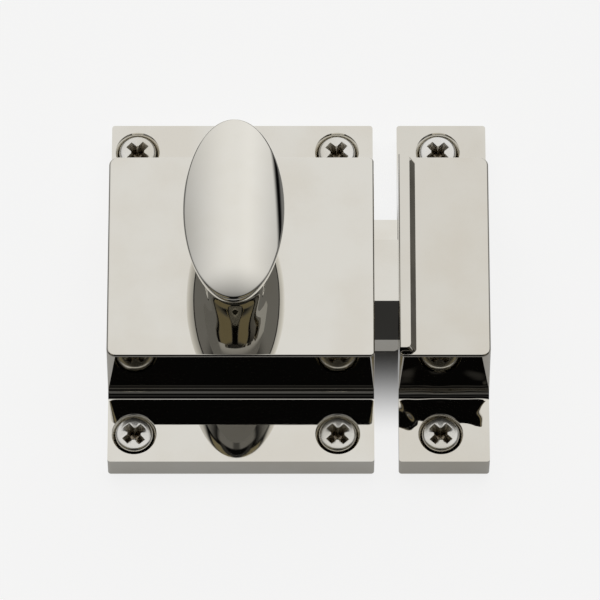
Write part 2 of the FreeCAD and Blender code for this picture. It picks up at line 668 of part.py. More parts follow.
def make_bolt_spring():
    """A helix of wire along X, between the case's wall and the seat in the bolt."""
    along_x = FreeCAD.Rotation(FreeCAD.Vector(0, 1, 0), 90)
    spine = doc.addObject("Part::Helix", "bolt_spring_spine")
    spine.setExpression("Radius", "sizes.spring_diam / 2")
    spine.setExpression("Height", "places.spring_length - sizes.spring_wire")
    spine.setExpression("Pitch", "(places.spring_length - sizes.spring_wire) / sizes.spring_turns")
    spine.Placement = FreeCAD.Placement(FreeCAD.Vector(), along_x)
    wire = doc.addObject("Part::Circle", "bolt_spring_wire")
    wire.setExpression("Radius", "sizes.spring_wire / 2")
    wire.Placement = FreeCAD.Placement(FreeCAD.Vector(), FreeCAD.Rotation(FreeCAD.Vector(1, 0, 0), 90))
    for item, level in ((spine, "places.spring_axis"), (wire, "places.spring_axis - sizes.spring_diam / 2")):
        item.setExpression("Placement.Base.x", "places.cavity_left + sizes.spring_wire / 2")
        item.setExpression("Placement.Base.z", level)
    spring = doc.addObject("Part::Sweep", "bolt_spring")
    spring.Label = "bolt_spring"
    spring.Sections = [wire]
    spring.Spine = (spine, ["Edge1"])
    spring.Solid = True
    spring.Frenet = True
    doc.recompute()
    return spring


def wood_screw(name, spot):
    """A countersunk wood screw with a round-rimmed head and a cross recess turned to the diagonals."""
    body = new_body(name)
    shape = sketch_on(body, f"{name}_outline", "XZ_Plane")
    tail = "sizes.head_drop - sizes.plate_thick - sizes.shank_tail"
    shank, thread = "sizes.shank_diam / 2", "sizes.thread_diam / 2"
    outline(shape, [
        ("0", "-sizes.screw_length"),
        (thread, "sizes.point_length - sizes.screw_length"),
        (thread, tail),
        (shank, tail),
        (shank, "-sizes.head_sink"),
        ("sizes.head_diam / 2", "0", "sizes.head_rim", -1),
        ("sizes.head_flat / 2", "sizes.head_raise"),
        ("0", "sizes.head_raise"),
    ])
    revolve(body, f"{name}_turning", shape)
    floor = "sizes.head_raise - sizes.recess_depth"
    span, width = "sizes.recess_span / 2", "sizes.recess_width / 2"
    for diagonal in (45, 135):
        arm = sketch_on(body, f"{name}_arm_{diagonal}", "XY_Plane", floor, diagonal)
        rectangle(arm, f"-{span}", span, f"-{width}", width)
        pocket(body, f"{name}_recess_{diagonal}", arm, "sizes.recess_depth")
    body.setExpression("Placement.Base.x", spot[0])
    body.setExpression("Placement.Base.y", spot[1])
    body.setExpression("Placement.Base.z", "sizes.plate_thick - sizes.head_drop")
    doc.recompute()
    return body


def plate_screw(name, spot):
    """A small slotted screw, head down, through the back plate into the case's corner block."""
    body = new_body(name)
    shape = sketch_on(body, f"{name}_outline", "XZ_Plane")
    outline(shape, [
        ("0", "-sizes.cap_height"),
        ("sizes.cap_diam / 2", "-sizes.cap_height"),
        ("sizes.cap_diam / 2", "0"),
        ("sizes.tap_diam / 2", "0"),
        ("sizes.tap_diam / 2", "sizes.tap_length"),
        ("0", "sizes.tap_length"),
    ])
    revolve(body, f"{name}_turning", shape)
    slot = sketch_on(body, f"{name}_slot_outline", "XY_Plane", "-sizes.cap_height")
    half, width = "sizes.cap_diam / 2 + sizes.slot_width", "sizes.slot_width / 2"
    rectangle(slot, f"-({half})", half, f"-{width}", width)
    pocket(body, f"{name}_slot", slot, "sizes.slot_depth")
    body.setExpression("Placement.Base.x", spot[0])
    body.setExpression("Placement.Base.y", spot[1])
    body.setExpression("Placement.Base.z", "places.plate_back")
    doc.recompute()
    return body


def screw_group(label, make_screw, spots):
    """Equal screws as separate solids of one group."""
    group = doc.addObject("Part::Compound", label)
    group.Label = label
    group.Links = [make_screw(f"{label}_{index}", spot) for index, spot in enumerate(spots, start=1)]
    doc.recompute()
    return group


pieces = [
    make_case(),
    make_back_plate(),
    screw_group("back_plate_screws", plate_screw, PLATE_SCREWS),
    make_knob(),
    make_knob_pin(),
    make_spindle(),
    make_follower(),
    make_bolt(),
    make_bolt_spring(),
    make_strike(),
    screw_group("case_screws", wood_screw, CASE_SCREWS),
    screw_group("strike_screws", wood_screw, STRIKE_SCREWS),
]
doc.recompute()

for item in doc.Objects:
    if {"Invalid", "Error"} & set(item.State):
        raise RuntimeError(f"{item.Label} failed: {item.State}")
for piece in pieces:
    if piece.Shape.isNull() or not piece.Shape.isValid():
        raise RuntimeError(f"{piece.Label} has no valid shape")

os.makedirs("parts", exist_ok=True)
for piece in pieces:
    piece.Shape.exportStep(f"parts/{piece.Label}.step")
    print(piece.Label, len(piece.Shape.Solids), round(piece.Shape.Volume, 2))
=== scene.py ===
# %% [markdown]
# # A cupboard turn latch in polished nickel
# The latch is a flanged case with an oval knob, a spring bolt and a hooded strike. Its shapes come from the
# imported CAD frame. This lesson gives them their finish, their fine detail, the studio and the camera.

# %% Load the frame
import math

import bmesh
import bpy
from mathutils import Matrix, Vector


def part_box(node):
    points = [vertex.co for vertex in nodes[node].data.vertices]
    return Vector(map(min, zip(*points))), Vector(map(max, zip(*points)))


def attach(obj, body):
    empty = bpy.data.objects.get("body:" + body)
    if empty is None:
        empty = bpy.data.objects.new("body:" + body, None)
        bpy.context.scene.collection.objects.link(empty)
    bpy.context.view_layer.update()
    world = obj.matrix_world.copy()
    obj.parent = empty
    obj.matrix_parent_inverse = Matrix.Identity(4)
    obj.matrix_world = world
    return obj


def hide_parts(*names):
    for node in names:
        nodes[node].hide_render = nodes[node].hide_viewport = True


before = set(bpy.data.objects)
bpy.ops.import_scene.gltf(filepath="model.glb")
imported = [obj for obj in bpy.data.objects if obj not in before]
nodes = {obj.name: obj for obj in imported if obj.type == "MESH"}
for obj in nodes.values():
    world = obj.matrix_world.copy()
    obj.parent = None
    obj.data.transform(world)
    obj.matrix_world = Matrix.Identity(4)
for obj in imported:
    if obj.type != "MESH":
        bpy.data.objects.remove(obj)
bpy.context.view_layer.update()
MM = 0.001
print("frame nodes:", ", ".join(sorted(nodes)))

# %% [markdown]
# ## Helpers for shader nodes
# Finishes, board and room are all worked out by nodes. Wiring each node by hand takes three lines, so a few
# small helpers do it: one joins sockets, one makes a math node, one chains a sum or a product, and one makes
# a soft step. A step whose low value is above its high value falls instead of rising.

# %% Node helpers
def link_up(tree, *pairs):
    """Join pairs of sockets, from output to input."""
    for source, target in pairs:
        tree.links.new(source, target)


def math_node(tree, operation, *inputs):
    """A math node fed by numbers or sockets; its output socket is returned."""
    node = tree.nodes.new("ShaderNodeMath")
    node.operation = operation
    for socket, given in zip(node.inputs, inputs):
        if isinstance(given, (int, float)):
            socket.default_value = given
        else:
            tree.links.new(given, socket)
    return node.outputs[0]


def chain(tree, operation, first, *others):
    """The same math operation over any number of values, such as a product or a sum."""
    result = first
    for other in others:
        result = math_node(tree, operation, result, other)
    return result


def smooth_step(tree, value, low, high):
    """0 at low, 1 at high and a soft change between them."""
    node = tree.nodes.new("ShaderNodeMapRange")
    node.interpolation_type = "SMOOTHSTEP"
    node.inputs["From Min"].default_value = low
    node.inputs["From Max"].default_value = high
    tree.links.new(value, node.inputs["Value"])
    return node.outputs["Result"]


def colour_mix(tree, factor, first, second):
    """A blend of two colours or colour sockets by a factor socket."""
    node = tree.nodes.new("ShaderNodeMix")
    node.data_type = "RGBA"
    tree.links.new(factor, node.inputs["Factor"])
    for name, given in (("A", first), ("B", second)):
        if isinstance(given, tuple):
            node.inputs[name].default_value = (*given, 1)
        else:
            tree.links.new(given, node.inputs[name])
    return node.outputs["Result"]


print("node helpers:", [helper.__name__ for helper in (link_up, math_node, chain, smooth_step, colour_mix)])

# %% [markdown]
# ## Marks that every metal shares
# Buffed metal is never even: a cloth leaves cloudy patches, handling leaves hairlines, and the wheel leaves slow
# ripples that bend a mirror image. Painting them on each piece would be slow, so one node group works them out
# from the place on the piece, and each finish mixes them in at its own strength. Object coordinates are in
# metres here, so a noise scale of 100 repeats about every 10 mm.
#
# The group also puts out a mask for the flanges, which lie lower than the raised blocks.

# %% Hairlines in two directions
FLANGE_LEVEL, FLANGE_FADE = 4.8 * MM, 6.5 * MM


def noise_at(tree, vector, scale, detail):
    """Noise at a vector socket; the scale is a number or a socket."""
    noise = tree.nodes.new("ShaderNodeTexNoise")
    noise.inputs["Detail"].default_value = detail
    if isinstance(scale, (int, float)):
        noise.inputs["Scale"].default_value = scale
    else:
        tree.links.new(scale, noise.inputs["Scale"])
    tree.links.new(vector, noise.inputs["Vector"])
    return noise.outputs["Fac"]


def hairlines(tree, place):
    """Thin lines from noise that is stretched sixty times along two directions."""
    lines = []
    for turn, stretch in ((0.5, 40), (-0.9, 55)):
        mapping = tree.nodes.new("ShaderNodeMapping")
        mapping.inputs["Rotation"].default_value = (0, 0, turn)
        mapping.inputs["Scale"].default_value = (stretch, stretch * 60, stretch * 60)
        link_up(tree, (place, mapping.inputs["Vector"]))
        streaks = noise_at(tree, mapping.outputs["Vector"], 1, 2)
        lines.append(smooth_step(tree, streaks, 0.62, 0.8))
    return math_node(tree, "MAXIMUM", *lines)


print("flange mask fades out between", FLANGE_LEVEL / MM, "and", FLANGE_FADE / MM, "mm")

# %% The group of buffing marks
def buffing_marks():
    """A group that puts out wipe patches, hairlines, ripples and the flange mask."""
    group = bpy.data.node_groups.new("buffing_marks", "ShaderNodeTree")
    for name in ("Cloud Scale", "Ripple Scale"):
        group.interface.new_socket(name, in_out="INPUT", socket_type="NodeSocketFloat")
    for name in ("Clouds", "Hairlines", "Ripples", "Flange"):
        group.interface.new_socket(name, in_out="OUTPUT", socket_type="NodeSocketFloat")
    given = group.nodes.new("NodeGroupInput")
    output = group.nodes.new("NodeGroupOutput")
    place = group.nodes.new("ShaderNodeTexCoord").outputs["Object"]
    split = group.nodes.new("ShaderNodeSeparateXYZ")
    link_up(
        group,
        (place, split.inputs["Vector"]),
        (noise_at(group, place, given.outputs["Cloud Scale"], 4), output.inputs["Clouds"]),
        (hairlines(group, place), output.inputs["Hairlines"]),
        (noise_at(group, place, given.outputs["Ripple Scale"], 1), output.inputs["Ripples"]),
        (smooth_step(group, split.outputs["Z"], FLANGE_FADE, FLANGE_LEVEL), output.inputs["Flange"]),
    )
    return group


MARKS = buffing_marks()
print("group:", MARKS.name, [socket.name for socket in MARKS.interface.items_tree])

# %% [markdown]
# ## Metal finishes
# All the metals differ only in tone, in how tightly they mirror and in how strong the marks are, so one function
# builds them. The clouds drift the tone between a clean and a warmer one and blur the mirror a little. Hairlines
# and ripples are a very low bump. A mirror finish needs values that are barely there, or it looks sanded.
#
# Case and bolt, knob, and strike each get a tone of their own; the strike's darker tone is painted shade, for light
# that falls off towards the right. The mirror image on the strike's lower flange is wavy, as on metal that isn't
# quite flat, so on the strike's flanges the ripples are much higher.

# %% Build a metal finish
CLOUD_SCALE, RIPPLE_SCALE = 90, 160


def metal_finish(name, clean, worn, roughness, scratch, wave=0.0, flange_wave=0.0):
    """A metal: two tones, least and greatest roughness, and heights of hairlines and ripples in metres."""
    material = bpy.data.materials.new(name)
    material.use_nodes = True
    tree = material.node_tree
    shader = tree.nodes["Principled BSDF"]
    shader.inputs["Metallic"].default_value = 1.0
    marks = tree.nodes.new("ShaderNodeGroup")
    marks.node_tree = MARKS
    marks.inputs["Cloud Scale"].default_value = CLOUD_SCALE
    marks.inputs["Ripple Scale"].default_value = RIPPLE_SCALE

    patches = smooth_step(tree, marks.outputs["Clouds"], 0.35, 0.7)
    blur = tree.nodes.new("ShaderNodeMapRange")
    blur.inputs["To Min"].default_value, blur.inputs["To Max"].default_value = roughness
    gain = wave / scratch
    if flange_wave:
        rougher = math_node(tree, "MULTIPLY", marks.outputs["Flange"], flange_wave / scratch)
        gain = math_node(tree, "ADD", rougher, gain)
    swell = math_node(tree, "MULTIPLY", marks.outputs["Ripples"], gain)
    relief = tree.nodes.new("ShaderNodeBump")
    relief.inputs["Strength"].default_value = 1.0
    relief.inputs["Distance"].default_value = scratch
    relief.invert = True
    link_up(
        tree,
        (colour_mix(tree, patches, clean, worn), shader.inputs["Base Color"]),
        (patches, blur.inputs["Value"]),
        (blur.outputs["Result"], shader.inputs["Roughness"]),
        (math_node(tree, "ADD", marks.outputs["Hairlines"], swell), relief.inputs["Height"]),
        (relief.outputs["Normal"], shader.inputs["Normal"]),
    )
    return material


print("finishes use", CLOUD_SCALE, "clouds and", RIPPLE_SCALE, "ripples a metre")

# %% [markdown]
# ## The nickel and the hidden metals
# The visible pieces are nickel, and the hidden ones are zinc-plated sheet, plain steel and cast brass. Each is
# one line of values for the function above.

# %% The finishes
POLISH, FAINT_SCRATCH, SLOW_WAVE = (0.015, 0.035), 1e-7, 6e-6
POLISHED_NICKEL = metal_finish(
    "polished_nickel", (0.715, 0.695, 0.64), (0.685, 0.655, 0.59), POLISH, FAINT_SCRATCH, SLOW_WAVE)
KNOB_NICKEL = metal_finish(
    "knob_nickel", (0.775, 0.755, 0.70), (0.75, 0.725, 0.66), (0.015, 0.03), FAINT_SCRATCH)
# The strike's nickel is darker than the case's as painted shade.
STRIKE_NICKEL_SHADED = metal_finish(
    "strike_nickel_painted_shade", (0.67, 0.645, 0.585), (0.645, 0.61, 0.54), POLISH, FAINT_SCRATCH, SLOW_WAVE, 6e-4)
SCREW_NICKEL = metal_finish("screw_nickel", (0.74, 0.73, 0.70), (0.66, 0.63, 0.56), (0.2, 0.3), 4e-7)
PLATE_STEEL = metal_finish("plate_steel", (0.52, 0.53, 0.55), (0.42, 0.43, 0.43), (0.28, 0.42), 3e-6)
PLAIN_STEEL = metal_finish("plain_steel", (0.55, 0.55, 0.54), (0.45, 0.44, 0.42), (0.2, 0.34), 3e-6)
CAST_BRASS = metal_finish("cast_brass", (0.72, 0.53, 0.24), (0.58, 0.40, 0.17), (0.25, 0.4), 4e-6)
FINISHES = (POLISHED_NICKEL, KNOB_NICKEL, STRIKE_NICKEL_SHADED, SCREW_NICKEL, PLATE_STEEL, PLAIN_STEEL, CAST_BRASS)
print("finishes:", [finish.name for finish in FINISHES])

# %% [markdown]
# ## Painted shade and grime in the screws' recess
# Polish and dust stay in the cross recess of a screw, and shade falls in it, so the recess is darkened as painted
# shade with some grime. A separate material for the recess would leave a hard edge, so the screws carry a value
# for it on each vertex, and their finish is mixed towards brown by it.

# %% Mix the painted shade and grime in
# The brown stands for painted shade in the recess, with a little grime.
SHADE_AND_GRIME_BROWN = (0.3, 0.26, 0.2)


def paint_recess_shade_and_grime(material):
    """Mix painted shade and grime into the tone where the piece carries its own attribute for it."""
    tree = material.node_tree
    shader = tree.nodes["Principled BSDF"]
    tone = shader.inputs["Base Color"].links[0].from_socket
    spread = tree.nodes.new("ShaderNodeAttribute")
    spread.attribute_name = "recess_shade_and_grime"
    shaded_and_grimy = colour_mix(tree, spread.outputs["Fac"], tone, SHADE_AND_GRIME_BROWN)
    link_up(tree, (shaded_and_grimy, shader.inputs["Base Color"]))


paint_recess_shade_and_grime(SCREW_NICKEL)
print("grime mixed into", SCREW_NICKEL.name)

# %% [markdown]
# ## Dress the nodes that stay
# Nine CAD nodes have the right shape already. They keep their mesh and only get a finish in their material slot.

# %% Give the kept nodes their finish
FINISH_OF = {
    "case": POLISHED_NICKEL,
    "bolt": POLISHED_NICKEL,
    "strike": STRIKE_NICKEL_SHADED,
    "back_plate": PLATE_STEEL,
    "back_plate_screws": PLAIN_STEEL,
    "knob_pin": PLAIN_STEEL,
    "spindle": PLAIN_STEEL,
    "bolt_spring": PLAIN_STEEL,
    "follower": CAST_BRASS,
}
for name, finish in FINISH_OF.items():
    nodes[name].data.materials.clear()
    nodes[name].data.materials.append(finish)
print("dressed:", len(FINISH_OF), "nodes")

# %% [markdown]
# ## From a bmesh to a piece
# Every new piece ends the same way: its seams are closed, its faces are turned outwards and shaded smooth, with
# sharp edges where the metal really turns, and the object rides on its body and stands for its CAD node.

# %% Finish a piece
WELD = 1e-7


def finish_piece(shape, name, finish, body, node, sharp):
    """Make the piece from a bmesh; edges that turn by more than sharp degrees stay crisp."""
    bmesh.ops.remove_doubles(shape, verts=shape.verts, dist=WELD)
    bmesh.ops.recalc_face_normals(shape, faces=shape.faces)
    for face in shape.faces:
        face.smooth = True
    mesh = bpy.data.meshes.new(name)
    shape.to_mesh(mesh)
    shape.free()
    mesh.set_sharp_from_angle(angle=math.radians(sharp))
    mesh.materials.append(finish)
    piece = bpy.data.objects.new(name, mesh)
    bpy.context.collection.objects.link(piece)
    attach(piece, body)
    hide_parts(node)
    print(name, "has", len(mesh.polygons), "faces")


print("points closer than", WELD / MM, "mm are welded")

# %% [markdown]
# ## Punching and drilling
# A recess or a cross hole is cut out of a solid. Modelling its edges by hand on a curved surface is hard, so a
# punch is modelled as a solid of its own and a Boolean takes it out. bmesh has no Boolean, so two objects are made
# for it and removed again.

# %% Take a punch out of a piece
def punched(shape, punch):
    """The shape with the punch taken out of it, as a new bmesh."""
    made = []
    for name, part in (("blank", shape), ("punch", punch)):
        mesh = bpy.data.meshes.new(name)
        part.to_mesh(mesh)
        part.free()
        item = bpy.data.objects.new(name, mesh)
        bpy.context.collection.objects.link(item)
        made.append(item)
    cut = made[0].modifiers.new("cut", "BOOLEAN")
    cut.operation, cut.solver, cut.use_self, cut.object = "DIFFERENCE", "EXACT", True, made[1]
    graph = bpy.context.evaluated_depsgraph_get()
    result = bmesh.new()
    result.from_object(made[0], graph)
    for item in made:
        mesh = item.data
        bpy.data.objects.remove(item)
        bpy.data.meshes.remove(mesh)
    print("cut leaves", len(result.faces), "faces")
    return result


# %% [markdown]
# ## The oval knob
# The knob is one casting: a shallow domed front, a small round rim, a deep rounded back like a boat's hull, and a
# waisted neck down to the face. A scaled sphere would give a head, but no rim and no smooth way into the neck. So
# the knob is a stack of oval rings, from the middle of the front to the foot of the neck. The dome follows a
# parabola, because its slope then grows evenly out to the rim, and the rings lie close together at the rim, where
# the reflection bends fastest.

# %% The knob's sizes
KNOB_LOW, KNOB_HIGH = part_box("knob")
KNOB_HALF_X, KNOB_HALF_Y = KNOB_HIGH.x, KNOB_HIGH.y
CROWN, HULL = 2.1 * MM, 10.1 * MM
RIM_LEVEL = KNOB_HIGH.z - CROWN
NECK, COLLAR, WAIST = 5.0 * MM, 6.2 * MM, 0.55 * MM
COLLAR_TOP = KNOB_LOW.z + 1.6 * MM
DOME_RINGS, DOME_SHARE, HULL_RINGS, NECK_RINGS = 28, 0.97, 24, 12
RIM_STEPS = ((0.985, -0.06), (0.994, 0.0), (0.9985, 0.07))
FOOT_STEPS = ((6.2, 0.35), (6.14, 0.15), (6.0, 0.03), (5.8, 0.0), (3.3, 0.0), (3.3, 1.2))
print("knob rim at", round(RIM_LEVEL / MM, 2), "mm, foot at", round(KNOB_LOW.z / MM, 2), "mm")

# %% The rings of the head
def head_rings():
    """Half width, half length and level of each ring of dome, rim and hull."""
    rings = []
    for step in range(1, DOME_RINGS + 1):
        share = DOME_SHARE * step / DOME_RINGS
        rings.append((KNOB_HALF_X * share, KNOB_HALF_Y * share, RIM_LEVEL + CROWN * (1 - share * share)))
    for share, drop in RIM_STEPS:
        rings.append((KNOB_HALF_X * share, KNOB_HALF_Y * share, RIM_LEVEL - drop * MM))
    first, last = math.radians(89), math.asin(NECK / KNOB_HALF_Y)
    for step in range(HULL_RINGS + 1):
        angle = first + (last - first) * step / HULL_RINGS
        wide = max(KNOB_HALF_X * math.sin(angle), NECK)
        rings.append((wide, KNOB_HALF_Y * math.sin(angle), RIM_LEVEL - HULL * math.cos(angle)))
    return rings


print("head:", len(head_rings()), "rings")

# %% The rings of the neck
def neck_rings(top):
    """Rings of the waisted neck from the level of the hull's end, then of collar and foot."""
    rings = []
    for step in range(1, NECK_RINGS + 1):
        share = step / NECK_RINGS
        radius = NECK + (COLLAR - NECK) * share - WAIST * 4 * share * (1 - share)
        rings.append((radius, radius, top + (COLLAR_TOP - top) * share))
    rings += [(radius * MM, radius * MM, KNOB_LOW.z + rise * MM) for radius, rise in FOOT_STEPS]
    return rings


KNOB_RINGS = head_rings()
KNOB_RINGS += neck_rings(KNOB_RINGS[-1][2])
print("knob:", len(KNOB_RINGS), "rings")

# %% [markdown]
# ## Skin the knob
# Each ring is a circle that is scaled to its oval and lifted to its level, and bridge_loops skins each pair of
# rings. Where the hull runs into the neck, the casting has a soft hollow and no crease, so the points there are
# smoothed a few times.

# %% Skin the rings
RING_POINTS = 112
HOLLOW_LOW, HOLLOW_HIGH, HOLLOW_HALF = 24.2 * MM, 27.5 * MM, 6.5 * MM


def in_hollow(vert):
    return HOLLOW_LOW < vert.co.z < HOLLOW_HIGH and abs(vert.co.x) < HOLLOW_HALF


def knob_skin():
    """The knob's closed skin over its rings."""
    shape = bmesh.new()
    loops = []
    for half_x, half_y, level in KNOB_RINGS:
        ring = bmesh.ops.create_circle(shape, segments=RING_POINTS, radius=1.0)["verts"]
        bmesh.ops.scale(shape, vec=(half_x, half_y, 1), verts=ring)
        bmesh.ops.translate(shape, vec=(0, 0, level), verts=ring)
        loops.append(list({edge for vert in ring for edge in vert.link_edges}))
    for upper, lower in zip(loops, loops[1:]):
        bmesh.ops.bridge_loops(shape, edges=upper + lower)
    for end in (loops[0], loops[-1]):
        cap = bmesh.ops.contextual_create(shape, geom=end)["faces"]
        bmesh.ops.poke(shape, faces=cap)
    hollow = [vert for vert in shape.verts if in_hollow(vert)]
    for _ in range(4):
        bmesh.ops.smooth_vert(
            shape, verts=hollow, factor=0.5, use_axis_x=True, use_axis_y=True, use_axis_z=True)
    print("knob skin has", len(shape.faces), "faces,", len(hollow), "points smoothed")
    return shape


# %% [markdown]
# ## The hole for the cross pin
# A steel pin through the neck holds the knob on its spindle, and its ends show in the neck's sides. The drill is a
# cylinder along X at the CAD pin's level, a little thicker than the pin.

# %% Drill the neck
DRILL_ROOM, DRILL_LENGTH = 0.03 * MM, 24 * MM


def pin_drill():
    """A drill along X as thick as the hole that the CAD pin sits in."""
    low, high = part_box("knob_pin")
    radius = (high.z - low.z) / 2 + DRILL_ROOM
    shape = bmesh.new()
    bmesh.ops.create_cone(
        shape, cap_ends=True, segments=48, radius1=radius, radius2=radius, depth=DRILL_LENGTH)
    sideways = Matrix.Rotation(math.pi / 2, 3, "Y")
    bmesh.ops.rotate(shape, cent=(0, 0, 0), matrix=sideways, verts=shape.verts)
    bmesh.ops.translate(shape, vec=(0, 0, (low.z + high.z) / 2), verts=shape.verts)
    return shape


drilled_knob = punched(knob_skin(), pin_drill())
finish_piece(drilled_knob, "oval_knob", KNOB_NICKEL, "knob", "knob", sharp=60)

# %% [markdown]
# ## The wood screws
# The flanges are held by countersunk screws with a raised, round-rimmed head and a cross recess. A screw is turned
# on a lathe, which in Blender is a spin of its half outline. The closed spin comes out with its faces in another
# order each run, and the cut below would then split the head in other ways. So its parts are put in the order of
# their places first, and every run gives the same screw.

# %% Turn the screw
SCREW_OUTLINE = [
    (0, 0.46), (1.2, 0.455), (2.2, 0.44), (2.65, 0.42), (2.85, 0.37), (3.0, 0.27), (3.1, 0.14), (3.14, 0),
    (3.1, -0.14), (2.95, -0.38), (2.12, -1.58), (1.75, -2.05), (1.75, -5.3), (1.2, -5.8), (1.2, -12.9),
    (0, -15.9),
]


def place_of(vert):
    return tuple(round(part, 9) for part in vert.co)


def places_of(item):
    return sorted(place_of(vert) for vert in item.verts)


def put_in_order(shape):
    """Sort points, edges and faces by their places."""
    for items, key in ((shape.verts, place_of), (shape.edges, places_of), (shape.faces, places_of)):
        for index, item in enumerate(sorted(items, key=key)):
            item.index = index
        items.sort()


def turned(outline):
    """A closed solid of revolution about Z from a half outline in millimetres."""
    shape = bmesh.new()
    spots = [shape.verts.new((radius * MM, 0, level * MM)) for radius, level in outline]
    lines = [shape.edges.new(pair) for pair in zip(spots, spots[1:])]
    bmesh.ops.spin(
        shape, geom=spots + lines, cent=(0, 0, 0), axis=(0, 0, 1), angle=2 * math.pi, steps=64, use_merge=True)
    bmesh.ops.remove_doubles(shape, verts=shape.verts, dist=WELD)
    bmesh.ops.recalc_face_normals(shape, faces=shape.faces)
    put_in_order(shape)
    return shape


screw = turned(SCREW_OUTLINE)
print("turned screw has", len(screw.faces), "faces")

# %% [markdown]
# ## The cross recess
# The recess is struck into the head with a tapered punch. Two bars that narrow downwards make the arms of the
# cross, and a cone makes its pointed middle. After the cut, a very small bevel takes the sharpness off its edge.

# %% Punch the cross recess
BAR, BAR_TAPER, BAR_DROP = (4.5 * MM, 1.5 * MM, 3.2 * MM), (0.45, 0.3, 1), -0.6 * MM
CORE_LOW, CORE_HIGH, CORE_DEPTH, CORE_DROP = 0.3 * MM, 1.3 * MM, 3.6 * MM, -0.75 * MM


def cross_punch():
    """Two tapered bars and a pointed middle, above and into the head."""
    shape = bmesh.new()
    for turn in (45, 135):
        bar = bmesh.ops.create_cube(shape, size=1.0)["verts"]
        bmesh.ops.scale(shape, vec=BAR, verts=bar)
        foot = [vert for vert in bar if vert.co.z < 0]
        bmesh.ops.scale(shape, vec=BAR_TAPER, verts=foot)
        bmesh.ops.translate(shape, vec=(0, 0, BAR_DROP), verts=bar)
        aslant = Matrix.Rotation(math.radians(turn), 3, "Z")
        bmesh.ops.rotate(shape, cent=(0, 0, 0), matrix=aslant, verts=bar)
    core = bmesh.ops.create_cone(
        shape, cap_ends=True, segments=24, radius1=CORE_LOW, radius2=CORE_HIGH, depth=CORE_DEPTH)["verts"]
    bmesh.ops.translate(shape, vec=(0, 0, CORE_DROP), verts=core)
    return shape


screw = punched(screw, cross_punch())
rim = [edge for edge in screw.edges
       if edge.calc_face_angle(0) > math.radians(50) and all(vert.co.z > 0.3 * MM for vert in edge.verts)]
bmesh.ops.bevel(
    screw, geom=rim, offset=0.06 * MM, offset_type="OFFSET", affect="EDGES", segments=2, profile=0.5,
    material=-1, clamp_overlap=True)
print("recess edge of", len(rim), "edges bevelled")

# %% [markdown]
# ## Where the painted shade and grime sit
# The points of the recess lie inside the head: near the top within the length of the arms, and further down within
# the shank. They get the value of painted shade and grime that the screw's finish reads.

# %% Mark the recess
RECESS_TOP, RECESS_TURN, RECESS_FLOOR = 0.34 * MM, -0.3 * MM, -2.5 * MM
ARM_REACH, CORE_REACH = 2.3 * MM, 1.74 * MM

# A value of 1 marks a point for painted shade, with some grime, in the screw's finish.
recess_shade_and_grime = screw.verts.layers.float.new("recess_shade_and_grime")
for vert in screw.verts:
    reach = ARM_REACH if vert.co.z > RECESS_TURN else CORE_REACH
    if RECESS_FLOOR < vert.co.z < RECESS_TOP and math.hypot(vert.co.x, vert.co.y) < reach:
        vert[recess_shade_and_grime] = 1.0
print("grime on", sum(vert[recess_shade_and_grime] > 0 for vert in screw.verts), "points")

# %% [markdown]
# ## The thread
# A thread is a ridge that climbs as it goes round. A spin with a small step along its axis makes it, and near the
# point the ridge is drawn in, so that it fades out with the cone.

# %% Wind the thread
THREAD_TOP, PITCH, THREAD_TURNS, TURN_STEPS = -6.2 * MM, 1.25 * MM, 7, 36
POINT_TOP, POINT_FADE = -12.9 * MM, 3.0 * MM
RIDGE = ((1.1, 0.3), (1.72, 0.05), (1.72, -0.05), (1.1, -0.3))


def wind_thread(shape):
    """Add the ridge to the screw."""
    core = set(shape.verts)
    spots = [shape.verts.new((radius * MM, 0, THREAD_TOP + rise * MM)) for radius, rise in RIDGE]
    lines = [shape.edges.new(pair) for pair in zip(spots, spots[1:] + spots[:1])]
    made = bmesh.ops.spin(
        shape, geom=spots + lines, cent=(0, 0, 0), axis=(0, 0, 1), angle=2 * math.pi * THREAD_TURNS,
        dvec=(0, 0, -PITCH / TURN_STEPS), steps=TURN_STEPS * THREAD_TURNS)
    last = [item for item in made["geom_last"] if isinstance(item, bmesh.types.BMEdge)]
    for end in (lines, last):
        bmesh.ops.contextual_create(shape, geom=end)
    for vert in shape.verts:
        if vert not in core and vert.co.z < POINT_TOP:
            fade = max(0.05, 1 - (POINT_TOP - vert.co.z) / POINT_FADE)
            vert.co.x *= fade
            vert.co.y *= fade


wind_thread(screw)
screw_mesh = bpy.data.meshes.new("screw_pattern")
screw.to_mesh(screw_mesh)
screw.free()
print("pattern screw has", len(screw_mesh.polygons), "faces")

# %% [markdown]
# ## A screw in every hole
# All six screws are the same, so the pattern is copied into each hole. No two stop at the same angle, and each copy
# is turned a few degrees. The holes are at the corners of the CAD group's box, half a head inside it.

# %% Set the screws
HEAD_HALF, HEAD_RAISE = 3.45 * MM, 0.45 * MM


def screw_set(name, node, turns):
    """Copies of the pattern screw in each corner of the CAD group's box, each stopped at its own angle."""
    low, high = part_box(node)
    columns = sorted({round(low.x + HEAD_HALF, 6), round(high.x - HEAD_HALF, 6)})
    rows = (low.y + HEAD_HALF, high.y - HEAD_HALF)
    shape = bmesh.new()
    for spot, turn in zip([(x, y) for x in columns for y in rows], turns):
        before = set(shape.verts)
        shape.from_mesh(screw_mesh)
        fresh = [vert for vert in shape.verts if vert not in before]
        stopped = Matrix.Rotation(math.radians(turn), 3, "Z")
        bmesh.ops.rotate(shape, cent=(0, 0, 0), matrix=stopped, verts=fresh)
        bmesh.ops.translate(shape, vec=(*spot, high.z - HEAD_RAISE), verts=fresh)
    finish_piece(shape, name, SCREW_NICKEL, "case", node, sharp=40)


screw_set("case_wood_screws", "case_screws", (-4, 3, -2, 5))
screw_set("strike_wood_screws", "strike_screws", (2, -3))
bpy.data.meshes.remove(screw_mesh)

